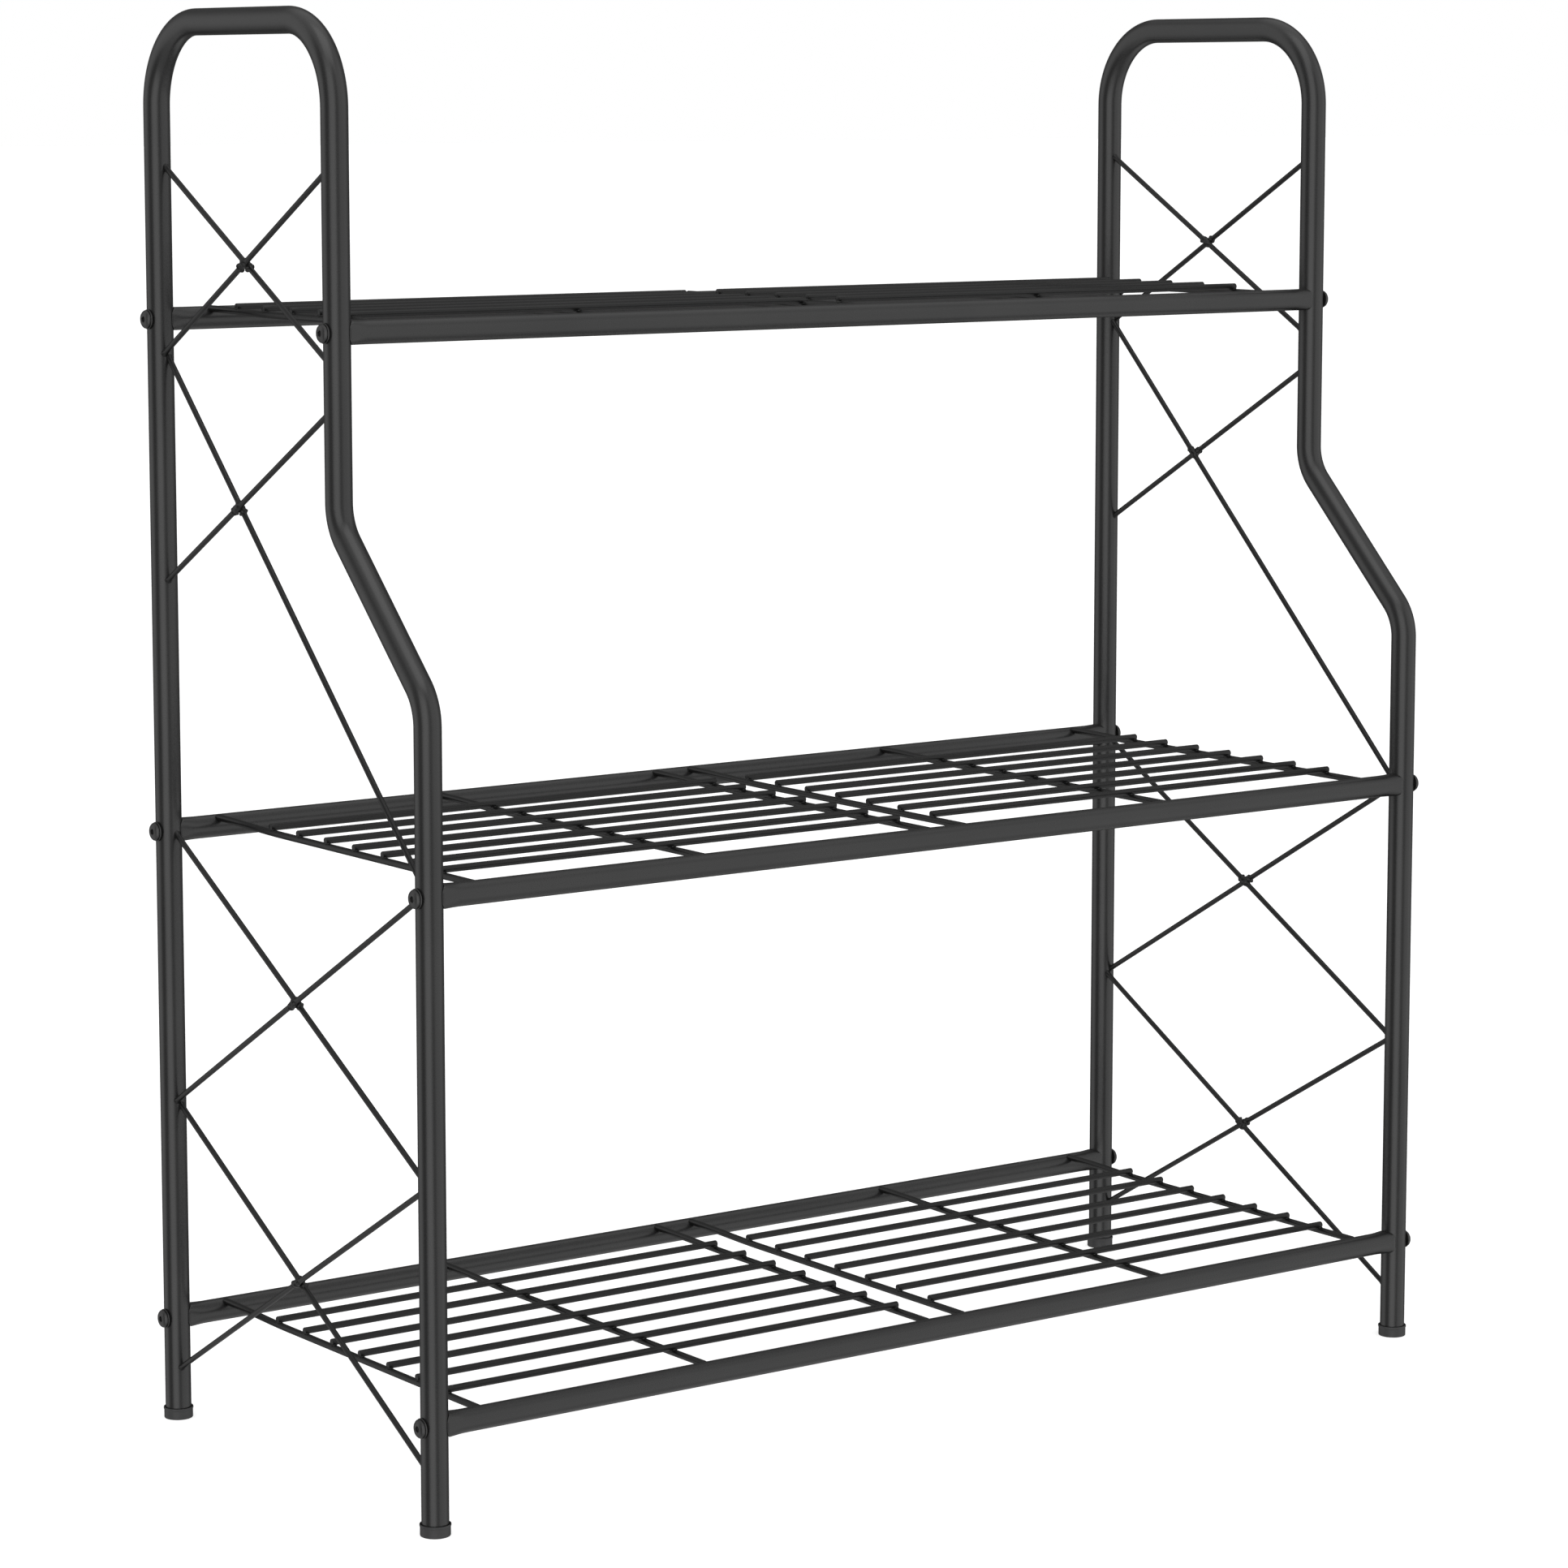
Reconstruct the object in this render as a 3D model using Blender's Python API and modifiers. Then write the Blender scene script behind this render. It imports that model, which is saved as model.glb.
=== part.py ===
"""Three-tier shoe rack: bent-tube side frames, bolted rails and welded wire shelves.

Frame: metres, +Z up, origin on the floor at the centre of the footprint.
+X runs along the shelves to the right and -Y faces the front.
"""
import math

import bmesh
import bpy
from mathutils import Matrix, Vector

# ---------------------------------------------------------------- driving dimensions
LEG_SPAN = 0.7465          # left leg axis to right leg axis
BASE_DEPTH = 0.3017        # back leg axis to lower front leg axis
TOP_DEPTH = 0.2081         # back leg axis to upper front leg axis
HANDLE_Z = 0.8596          # axis of the carrying handle
STEP_TOP_Z = 0.5726        # where the upper front leg meets the 45 degree step
STEP_LOW_Z = STEP_TOP_Z - (BASE_DEPTH - TOP_DEPTH)

TUBE_RADIUS = 0.008
TUBE_WALL = 0.0012
HANDLE_BEND = 0.050        # centre-line radius of the handle corners
STEP_BEND = 0.032          # centre-line radius of the two step bends

RAIL_RADIUS = 0.007
RAIL_WALL = 0.001
PLUG_DEPTH = 0.026         # from the leg axis to the inner face of a rail's plug
SHELF_Z = {"bottom": 0.0640, "middle": 0.3696, "top": 0.6824}

WIRE_RADIUS = 0.002
LONG_WIRE_RISE = 0.0079    # long wire axis above the rail axis
CROSS_WIRE_RISE = 0.0043   # cross wire axis above the rail axis
LONG_WIRE_PITCH = 0.0324
FIRST_WIRE_SETBACK = {"bottom": 0.0702, "middle": 0.0702, "top": 0.0378}
LONG_WIRE_COUNT = {"bottom": 7, "middle": 7, "top": 5}
PANEL_LENGTH = 0.3288
PANEL_CENTRE_X = 0.1774
CROSS_WIRE_INSET = 0.0014
MIDDLE_CROSS_SHIFT = -0.004

BRACE_RADIUS = 0.0016
BRACE_OFFSET = 0.0018      # each brace rod lies this far to one side of the tube's plane
BRACE_SLOPE = math.tan(math.radians(30))
HANDLE_CROSS_Z = 0.6624    # lower ends of the pair under the handle
STEP_CROSS_TOP_Z = 0.6591  # back end of the rod that falls at 45 degrees past the step
STEP_CROSS_LOW_Z = 0.5249  # back end of the rod that rises to the upper front leg
UPPER_CROSS_Z = 0.2027     # lower ends of the pair below the middle shelf
LOWER_CROSS_Z = 0.0339     # lower ends of the pair at the bottom shelf

SCREW_HOLE_RADIUS = 0.0033
THREAD_RADIUS = 0.0030
SHANK_RADIUS = 0.0027
SHANK_REACH = 0.014        # shank tip to leg axis
HEAD_RADIUS = 0.0055
HEAD_EDGE_RADIUS = 0.0051
HEAD_EDGE_HEIGHT = 0.0011
HEAD_TOP_RADIUS = 0.0028
HEAD_HEIGHT = 0.0024
SOCKET_RADIUS = 0.0020
SOCKET_DEPTH = 0.0014
WASHER_RADIUS = 0.0060
WASHER_THICKNESS = 0.0008

CAP_RADIUS = 0.0092
CAP_HEIGHT = 0.0070
CAP_FLOOR = 0.0025
CAP_CHAMFER = 0.0006

GAP = 0.0003               # left between pieces that touch
OVERSHOOT = 0.01           # how far a cutting tool runs past what it cuts
MERGE = 0.00001            # points closer than this are one point

TUBE_SIDES = 16
RAIL_SIDES = 16
WIRE_SIDES = 8
HEAD_SIDES = 16
HOLE_SIDES = 12
HEX_SIDES = 6
BEND_STEP = 15             # degrees of bend between two rings of a bent tube
CREASE = 35                # edges sharper than this many degrees stay sharp

BACK_Y = BASE_DEPTH / 2
BASE_FRONT_Y = -BASE_DEPTH / 2
TOP_FRONT_Y = BACK_Y - TOP_DEPTH
SIDES = {"left": -1, "right": 1}
FRONT_Y = {"bottom": BASE_FRONT_Y, "middle": BASE_FRONT_Y, "top": TOP_FRONT_Y}


# ---------------------------------------------------------------- scene helpers
def clear_scene():
    for thing in list(bpy.data.objects):
        bpy.data.objects.remove(thing, do_unlink=True)


def new_collection(name):
    collection = bpy.data.collections.new(name)
    bpy.context.scene.collection.children.link(collection)
    return collection


def paint(name, colour, roughness, metallic=0.0):
    material = bpy.data.materials.new(name)
    material.use_nodes = True
    shader = material.node_tree.nodes["Principled BSDF"]
    shader.inputs["Base Color"].default_value = (*colour, 1.0)
    shader.inputs["Roughness"].default_value = roughness
    shader.inputs["Metallic"].default_value = metallic
    return material


def add_object(name, data, collection):
    thing = bpy.data.objects.new(name, data)
    collection.objects.link(thing)
    return thing


def finish(piece, material):
    """Gives the piece its material and smooth shading with crisp edges."""
    piece.data.materials.clear()
    piece.data.materials.append(material)
    piece.data.shade_smooth()
    piece.data.set_sharp_from_angle(angle=math.radians(CREASE))
    return piece


def rod(name, start, end, radius, sides, collection):
    """Plain round bar from start to end, turned so that flat sides face along the axes."""
    start = Vector(start)
    along = Vector(end) - start
    aim = along.to_track_quat("Z", "Y").to_matrix().to_4x4()
    half_side = Matrix.Rotation(math.pi / sides, 4, "Z")
    place = Matrix.Translation(start + along / 2) @ aim @ half_side
    shell = bmesh.new()
    bmesh.ops.create_cone(shell, cap_ends=True, segments=sides, radius1=radius, radius2=radius,
                          depth=along.length, matrix=place)
    mesh = bpy.data.meshes.new(name)
    shell.to_mesh(mesh)
    shell.free()
    return add_object(name, mesh, collection)


def turned(name, profile, sides, collection):
    """Turned piece on the Z axis. profile is (radius, height), from the top centre down."""
    mesh = bpy.data.meshes.new(name)
    points = [(radius, 0, height) for radius, height in profile]
    mesh.from_pydata(points, [(index, index + 1) for index in range(len(points) - 1)], [])
    piece = add_object(name, mesh, collection)
    lathe = piece.modifiers.new("turn", "SCREW")
    lathe.axis = "Z"
    lathe.steps = sides
    lathe.render_steps = sides
    lathe.use_merge_vertices = True
    lathe.merge_threshold = MERGE
    return piece


def evaluated_mesh(thing):
    return bpy.data.meshes.new_from_object(thing.evaluated_get(bpy.context.evaluated_depsgraph_get()))


def combine(target, tool, operation):
    """Applies an exact Boolean to the target and removes the tool."""
    modifier = target.modifiers.new(operation, "BOOLEAN")
    modifier.operation = operation
    modifier.solver = "EXACT"
    modifier.object = tool
    mesh = evaluated_mesh(target)
    target.modifiers.clear()
    target.data = mesh
    bpy.data.objects.remove(tool, do_unlink=True)


# ---------------------------------------------------------------- side tubes
def rounded_path(corners, radii):
    """Points of a polyline in (y, z) whose inner corners are arcs of the given radii."""
    points = [Vector(corners[0])]
    for before, corner, after, radius in zip(corners, corners[1:], corners[2:], radii):
        corner = Vector(corner)
        back = (Vector(before) - corner).normalized()
        ahead = (Vector(after) - corner).normalized()
        turn = math.pi - back.angle(ahead)
        centre = corner + (back + ahead).normalized() * radius / math.cos(turn / 2)
        first = corner + back * radius * math.tan(turn / 2) - centre
        last = corner + ahead * radius * math.tan(turn / 2) - centre
        steps = round(math.degrees(turn) / BEND_STEP)
        for step in range(steps + 1):
            share = step / steps
            spoke = first * math.sin((1 - share) * turn) + last * math.sin(share * turn)
            points.append(centre + spoke / math.sin(turn))
    points.append(Vector(corners[-1]))
    return points


def swept_tube(name, path, radius, collection):
    """Round bar along a path in the YZ plane: a bevelled curve made into one closed mesh."""
    curve = bpy.data.curves.new(name, "CURVE")
    curve.dimensions = "3D"
    curve.bevel_depth = radius
    curve.bevel_resolution = (TUBE_SIDES - 4) // 2
    curve.use_fill_caps = True
    spline = curve.splines.new("POLY")
    spline.points.add(len(path) - 1)
    for point, place in zip(spline.points, path):
        point.co = (0, place.x, place.y, 1)
    source = add_object(name + "_curve", curve, collection)
    mesh = evaluated_mesh(source)
    bpy.data.objects.remove(source, do_unlink=True)
    shell = bmesh.new()
    shell.from_mesh(mesh)
    bmesh.ops.remove_doubles(shell, verts=shell.verts, dist=MERGE)
    bmesh.ops.recalc_face_normals(shell, faces=shell.faces)
    shell.to_mesh(mesh)
    shell.free()
    return add_object(name, mesh, collection)


def leg_path(bottom):
    corners = [
        (BACK_Y, bottom),
        (BACK_Y, HANDLE_Z),
        (TOP_FRONT_Y, HANDLE_Z),
        (TOP_FRONT_Y, STEP_TOP_Z),
        (BASE_FRONT_Y, STEP_LOW_Z),
        (BASE_FRONT_Y, bottom),
    ]
    return rounded_path(corners, [HANDLE_BEND, HANDLE_BEND, STEP_BEND, STEP_BEND])


def make_side_tubes(parts, cutters, steel):
    """The two bent tubes, open at the feet and drilled through for the shelf screws."""
    tube = swept_tube("side_tube", leg_path(CAP_FLOOR + GAP), TUBE_RADIUS, parts)
    bore = swept_tube("tube_bore", leg_path(CAP_FLOOR - OVERSHOOT), TUBE_RADIUS - TUBE_WALL, cutters)
    combine(tube, bore, "DIFFERENCE")
    reach = TUBE_RADIUS + OVERSHOOT
    for tier, height in SHELF_Z.items():
        for y in (BACK_Y, FRONT_Y[tier]):
            drill = rod("drill", (-reach, y, height), (reach, y, height), SCREW_HOLE_RADIUS,
                        HOLE_SIDES, cutters)
            combine(tube, drill, "DIFFERENCE")
    finish(tube, steel)
    for side, sign in SIDES.items():
        frame = add_object(f"side_tube_{side}", tube.data, parts)
        frame.location = (sign * LEG_SPAN / 2, 0, 0)
    bpy.data.objects.remove(tube, do_unlink=True)


# ---------------------------------------------------------------- braces
def brace_ends():
    """(back height, front height, front leg) of each rod at the leg faces, by name."""
    inner_back = BACK_Y - TUBE_RADIUS
    base_run = inner_back - (BASE_FRONT_Y + TUBE_RADIUS)
    top_rise = (inner_back - (TOP_FRONT_Y + TUBE_RADIUS)) * BRACE_SLOPE
    base_rise = base_run * BRACE_SLOPE
    return {
        "1_falling": (HANDLE_CROSS_Z + top_rise, HANDLE_CROSS_Z, TOP_FRONT_Y),
        "1_rising": (HANDLE_CROSS_Z, HANDLE_CROSS_Z + top_rise, TOP_FRONT_Y),
        "2_falling": (STEP_CROSS_TOP_Z, STEP_CROSS_TOP_Z - base_run, BASE_FRONT_Y),
        "2_rising": (STEP_CROSS_LOW_Z, STEP_CROSS_LOW_Z + top_rise, TOP_FRONT_Y),
        "3_falling": (UPPER_CROSS_Z + base_rise, UPPER_CROSS_Z, BASE_FRONT_Y),
        "3_rising": (UPPER_CROSS_Z, UPPER_CROSS_Z + base_rise, BASE_FRONT_Y),
        "4_falling": (LOWER_CROSS_Z + base_rise, LOWER_CROSS_Z, BASE_FRONT_Y),
        "4_rising": (LOWER_CROSS_Z, LOWER_CROSS_Z + base_rise, BASE_FRONT_Y),
    }


def make_braces(parts, steel):
    """Crossed rods of both side frames. Falling rods lie inboard and rising rods outboard."""
    for side, sign in SIDES.items():
        for label, (back_z, front_z, front_leg_y) in brace_ends().items():
            inboard = -sign if label.endswith("falling") else sign
            x = sign * LEG_SPAN / 2 + inboard * BRACE_OFFSET
            back = Vector((x, BACK_Y - TUBE_RADIUS, back_z))
            front = Vector((x, front_leg_y + TUBE_RADIUS, front_z))
            along = (front - back).normalized()
            # The end disc leans, so it stops short by the gap plus its own overhang.
            trim = (GAP + BRACE_RADIUS * abs(along.z)) / abs(along.y)
            piece = rod(f"brace_{side}_{label}", back + along * trim, front - along * trim,
                        BRACE_RADIUS, WIRE_SIDES, parts)
            finish(piece, steel)


# ---------------------------------------------------------------- rails
def make_rails(parts, cutters, steel):
    """Shelf rails: tubes along X with saddle ends that fit the legs and bored end plugs."""
    half = LEG_SPAN / 2
    hollow = half - PLUG_DEPTH
    rail = rod("rail", (-half, 0, 0), (half, 0, 0), RAIL_RADIUS, RAIL_SIDES, parts)
    cavity = rod("cavity", (-hollow, 0, 0), (hollow, 0, 0), RAIL_RADIUS - RAIL_WALL, RAIL_SIDES, cutters)
    combine(rail, cavity, "DIFFERENCE")
    for sign in SIDES.values():
        saddle = rod("saddle", (sign * half, 0, -OVERSHOOT), (sign * half, 0, OVERSHOOT),
                     TUBE_RADIUS + GAP, TUBE_SIDES, cutters)
        combine(rail, saddle, "DIFFERENCE")
        thread = rod("thread", (sign * half, 0, 0), (sign * (hollow - OVERSHOOT), 0, 0),
                     THREAD_RADIUS, HOLE_SIDES, cutters)
        combine(rail, thread, "DIFFERENCE")
    finish(rail, steel)
    for tier, height in SHELF_Z.items():
        for place, y in (("back", BACK_Y), ("front", FRONT_Y[tier])):
            copy = add_object(f"rail_{tier}_{place}", rail.data, parts)
            copy.location = (0, y, height)
    bpy.data.objects.remove(rail, do_unlink=True)


# ---------------------------------------------------------------- wire panels
def make_panel(tier, parts):
    """Long wires welded on three cross wires, centred on x = 0."""
    half = PANEL_LENGTH / 2
    back = BACK_Y - RAIL_RADIUS - GAP
    front = FRONT_Y[tier] + RAIL_RADIUS + GAP
    cross_z = SHELF_Z[tier] + CROSS_WIRE_RISE
    long_z = SHELF_Z[tier] + LONG_WIRE_RISE
    panel = rod("panel", (MIDDLE_CROSS_SHIFT, back, cross_z), (MIDDLE_CROSS_SHIFT, front, cross_z),
                WIRE_RADIUS, WIRE_SIDES, parts)
    for x in (-half + CROSS_WIRE_INSET, half - CROSS_WIRE_INSET):
        cross = rod("cross_wire", (x, back, cross_z), (x, front, cross_z), WIRE_RADIUS, WIRE_SIDES, parts)
        combine(panel, cross, "UNION")
    for index in range(LONG_WIRE_COUNT[tier]):
        y = BACK_Y - FIRST_WIRE_SETBACK[tier] - index * LONG_WIRE_PITCH
        wire = rod("long_wire", (-half, y, long_z), (half, y, long_z), WIRE_RADIUS, WIRE_SIDES, parts)
        combine(panel, wire, "UNION")
    return panel


def make_panels(parts, steel):
    for tier in SHELF_Z:
        template = finish(make_panel(tier, parts), steel)
        for side, sign in SIDES.items():
            panel = add_object(f"wire_panel_{tier}_{side}", template.data, parts)
            panel.location = (sign * PANEL_CENTRE_X, 0, 0)
        bpy.data.objects.remove(template, do_unlink=True)


# ---------------------------------------------------------------- screws, washers, caps
def make_screw(parts, cutters, steel):
    """Button-head socket screw pointing down the Z axis, with the leg axis at z = 0."""
    seat = TUBE_RADIUS + GAP + WASHER_THICKNESS + GAP
    top = seat + HEAD_HEIGHT
    profile = [
        (0, top),
        (HEAD_TOP_RADIUS, top),
        (HEAD_EDGE_RADIUS, seat + HEAD_EDGE_HEIGHT),
        (HEAD_RADIUS, seat),
        (SHANK_RADIUS, seat),
        (SHANK_RADIUS, -SHANK_REACH),
        (0, -SHANK_REACH),
    ]
    screw = turned("screw", profile, HEAD_SIDES, parts)
    socket = rod("socket", (0, 0, top - SOCKET_DEPTH), (0, 0, top + OVERSHOOT), SOCKET_RADIUS,
                 HEX_SIDES, cutters)
    combine(screw, socket, "DIFFERENCE")
    return finish(screw, steel)


def make_washer(parts, cutters, steel):
    seat = TUBE_RADIUS + GAP
    washer = rod("washer", (0, 0, seat), (0, 0, seat + WASHER_THICKNESS), WASHER_RADIUS, HEAD_SIDES, parts)
    hole = rod("hole", (0, 0, 0), (0, 0, seat + OVERSHOOT), SCREW_HOLE_RADIUS, HOLE_SIDES, cutters)
    combine(washer, hole, "DIFFERENCE")
    return finish(washer, steel)


def make_fasteners(parts, cutters, steel):
    """A screw and a washer at each rail end, heads outboard."""
    templates = {"screw": make_screw(parts, cutters, steel), "washer": make_washer(parts, cutters, steel)}
    for kind, template in templates.items():
        for tier, height in SHELF_Z.items():
            for place, y in (("back", BACK_Y), ("front", FRONT_Y[tier])):
                for side, sign in SIDES.items():
                    piece = add_object(f"{kind}_{tier}_{place}_{side}", template.data, parts)
                    piece.location = (sign * LEG_SPAN / 2, y, height)
                    piece.rotation_euler = (0, sign * math.pi / 2, 0)
        bpy.data.objects.remove(template, do_unlink=True)


def make_caps(parts, cutters, plastic):
    """Foot caps: plain cups that the bare tube ends stand in."""
    profile = [
        (0, CAP_HEIGHT),
        (CAP_RADIUS, CAP_HEIGHT),
        (CAP_RADIUS, CAP_CHAMFER),
        (CAP_RADIUS - CAP_CHAMFER, 0),
        (0, 0),
    ]
    cap = turned("foot_cap", profile, TUBE_SIDES, parts)
    well = rod("well", (0, 0, CAP_FLOOR), (0, 0, CAP_HEIGHT + OVERSHOOT), TUBE_RADIUS + GAP,
               TUBE_SIDES, cutters)
    combine(cap, well, "DIFFERENCE")
    finish(cap, plastic)
    for place, y in (("back", BACK_Y), ("front", BASE_FRONT_Y)):
        for side, sign in SIDES.items():
            copy = add_object(f"foot_cap_{place}_{side}", cap.data, parts)
            copy.location = (sign * LEG_SPAN / 2, y, 0)
    bpy.data.objects.remove(cap, do_unlink=True)


# ---------------------------------------------------------------- assembly
def build():
    clear_scene()
    parts = new_collection("tiered_shoe_rack")
    cutters = new_collection("cutters")
    powder_coat = paint("black_powder_coat", (0.028, 0.028, 0.029), 0.42)
    black_zinc = paint("black_zinc_screw", (0.02, 0.02, 0.021), 0.35, 0.6)
    plastic = paint("black_plastic", (0.03, 0.03, 0.031), 0.55)

    make_side_tubes(parts, cutters, powder_coat)
    make_braces(parts, powder_coat)
    make_rails(parts, cutters, powder_coat)
    make_panels(parts, powder_coat)
    make_fasteners(parts, cutters, black_zinc)
    make_caps(parts, cutters, plastic)
    bpy.data.collections.remove(cutters)


build()
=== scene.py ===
import math

import bmesh
import bpy
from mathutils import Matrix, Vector, noise


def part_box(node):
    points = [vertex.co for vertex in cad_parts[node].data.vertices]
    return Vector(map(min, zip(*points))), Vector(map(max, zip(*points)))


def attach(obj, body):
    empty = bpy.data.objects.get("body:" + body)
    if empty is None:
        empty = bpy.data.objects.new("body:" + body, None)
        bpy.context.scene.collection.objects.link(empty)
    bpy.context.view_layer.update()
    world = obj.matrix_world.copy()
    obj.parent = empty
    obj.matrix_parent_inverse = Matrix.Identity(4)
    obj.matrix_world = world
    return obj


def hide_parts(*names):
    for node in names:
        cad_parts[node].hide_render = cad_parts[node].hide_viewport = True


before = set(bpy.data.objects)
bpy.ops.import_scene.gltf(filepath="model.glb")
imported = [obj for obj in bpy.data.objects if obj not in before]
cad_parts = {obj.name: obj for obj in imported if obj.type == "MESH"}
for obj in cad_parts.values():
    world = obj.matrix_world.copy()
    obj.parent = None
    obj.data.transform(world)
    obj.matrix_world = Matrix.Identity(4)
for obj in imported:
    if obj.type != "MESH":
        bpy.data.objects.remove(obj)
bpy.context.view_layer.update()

# Looks of the tiered shoe rack: every CAD node gets a finely meshed piece in its place.
# Metres, +Z up, origin on the floor at the centre of the footprint, -Y to the front.

# ---------------------------------------------------------------- sizes that no box shows
CONTACT = 0.0003           # clearance between bolted pieces
EMBED = 0.0008             # how far a welded rod runs into the tube wall
CREASE = 40                # edges sharper than this many degrees stay sharp

TUBE_WALL = 0.0012
TUBE_END_SOFTENING = 0.0003
HANDLE_BEND = 0.050
STEP_BEND = 0.032
STEP_TOP_Z = 0.5726        # where the upper front leg meets the 45 degree step
BEND_STEP = 3              # degrees of bend between two rings of a tube

RAIL_RADIUS = 0.007
SCREW_BORE_RADIUS = 0.0030
SCREW_BORE_DEPTH = 0.020   # from the leg axis
BORE_POINT_DEPTH = 0.001   # cone left by the drill at the bottom of the bore
BORE_POINT_RADIUS = 0.0012
BORE_CHAMFER = 0.0004
BORE_CHAMFER_BACK_OFF = 0.0008
ROUND = 2                  # squareness of a round section; larger is squarer
SADDLE_MIDDLE = (0.0050, 2.6)   # radius and squareness half way across the saddle
SADDLE_RIM = 0.0004        # softened outer edge of the saddle
SADDLE_RIM_CORNER = 0.0001
END_SQUARENESS = 3.8
END_PRESSED_LENGTH = 0.011  # how far in from its end a rail is pressed out of round
PRESSED_SHARES = (0.15, 0.3, 0.45, 0.6, 0.8, 1.0)

WIRE_RADIUS = 0.0021       # with its powder coat
WIRE_END_SOFTENING = 0.0004
WIRE_END_CORNER = 0.3      # share of the softening where its extra ring lies
LONG_WIRE_RISE = 0.0079    # long wire axis above the rail axis
CROSS_WIRE_RISE = 0.0043   # cross wire axis above the rail axis
CROSS_WIRE_KICK = 0.0013   # how much higher a cross wire's back end lies
KICK_LENGTH = 0.075
KICK_STEPS = 12
LONG_WIRE_PITCH = 0.0324
FIRST_WIRE_SETBACK = {"bottom": 0.0702, "middle": 0.0702, "top": 0.0378}
LONG_WIRE_COUNT = {"bottom": 7, "middle": 7, "top": 5}
CROSS_WIRE_INSET = 0.0014
MIDDLE_CROSS_SHIFT = -0.004
SHOULDER_SINK = 0.001      # how far a cross wire's end runs into the rail
CROSSING_REACH = 0.0045    # extra rings this far to both sides of a crossing
NUGGET_PROFILE = [(-0.0011, 0.0006), (-0.0009, 0.0016), (0, 0.0023), (0.0009, 0.0016), (0.0011, 0.0006)]
NUGGET_SIDES = 12

BRACE_RADIUS = 0.0017      # with its powder coat
BRACE_SET_DOWN = 0.78      # share of their distance that the spot weld leaves between crossing rods
BRACE_ANGLE = {"1": 30, "2_rising": 30, "2_falling": 45, "3": 30, "4": 30}
SHORT_BRACES = ("1_falling", "1_rising", "2_rising")   # these reach the upper front leg
BRACE_RING_STEP = 0.0005
BRACE_END_RINGS = 11
BRACE_WELD_RINGS = 14      # to each side of a crossing
FILLET_HEIGHT = 0.0006
FILLET_LENGTH = 0.0036
BEAD_REACH = 0.0032        # from a crossing to the weld beads beside it
BEAD_REACH_SPREAD = 0.0008
BEAD_HEIGHT = 0.0009
BEAD_HEIGHT_SPREAD = 0.0005
BEAD_WIDTH = 0.0010
BLOB_HEIGHT = 0.0008
BLOB_WIDTH = 0.0024
REACH_ROW = 7.1            # rows of the noise that the beads are drawn from
HEIGHT_ROW = 1.3
LUMP_FREQUENCY = 420
LUMP_SHARE = 0.8
LUMP_LIMIT = 0.35
SEED_STEP = 0.37

HEAD_HEIGHT = 0.0024
HEAD_RADIUS = 0.0055
HEAD_SIDE = 0.0008         # straight side under the dome
DOME_CORNER = (0.0018, 0.0047)  # height above the seat and radius
HEAD_TOP_RADIUS = 0.0030
SOCKET_MOUTH_RADIUS = 0.0023
SOCKET_RINGS = ((0.0003, 0.0017), (0.0014, 0.0017), (0.0018, 0.0008))  # depth and apothem
SHANK_RADIUS = 0.0027
SHANK_TIP_RADIUS = 0.0022
SHANK_TIP_FLAT = 0.0018
SHANK_TIP_LENGTH = 0.0008
SCREW_SOFTENING = [0.0, 0.0003, 0.0, 0.00015, 0.0003, 0.0015, 0.0012]
SCREW_ARC_STEP = 15
WASHER_RADIUS = 0.0060
WASHER_HOLE = 0.0033
WASHER_RIM = 0.0002

CAP_PIP = (0.0006, 0.0010)      # height and radius of the middle of the dished sole
CAP_DISH_INSET = 0.0030
CAP_SOLE_INSET = 0.0026
CAP_WAIST = 0.0003         # how much slimmer the cup is below its lip
CAP_BODY_START = 0.0014
CAP_LIP_START = 0.0016     # below the mouth
CAP_LIP_FULL = 0.0012
CAP_MOUTH = (0.0009, 0.0004)    # depth and width of the chamfer inside the mouth
CAP_SOFTENING = [0, 0.0002, 0.0005, 0, 0.0004, 0.0002, 0.0003, 0.0002, 0.0002, 0.0003]
CAP_ARC_STEP = 20

TUBE_SIDES = 48
RAIL_SIDES = 48
WIRE_SIDES = 20
BRACE_SIDES = 20
LATHE_SIDES = 48

SIDES = {"left": -1, "right": 1}
TIERS = ("bottom", "middle", "top")
X_AXIS = Vector((1, 0, 0))
Y_AXIS = Vector((0, 1, 0))
Z_AXIS = Vector((0, 0, 1))


def middle_of(node):
    """Middle of a CAD node's box."""
    low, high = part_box(node)
    return (low + high) / 2


# ---------------------------------------------------------------- places taken from the frame
tube_low, tube_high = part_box("side_tube_left")
TUBE_RADIUS = (tube_high.x - tube_low.x) / 2
BACK_Y = tube_high.y - TUBE_RADIUS
BASE_FRONT_Y = tube_low.y + TUBE_RADIUS
TOP_FRONT_Y = middle_of("rail_top_front").y
HANDLE_Z = tube_high.z - TUBE_RADIUS
STEP_LOW_Z = STEP_TOP_Z - (TOP_FRONT_Y - BASE_FRONT_Y)
LEG_X = middle_of("side_tube_right").x
RAIL_Z = {tier: middle_of(f"rail_{tier}_back").z for tier in TIERS}
FRONT_Y = {"bottom": BASE_FRONT_Y, "middle": BASE_FRONT_Y, "top": TOP_FRONT_Y}


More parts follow.
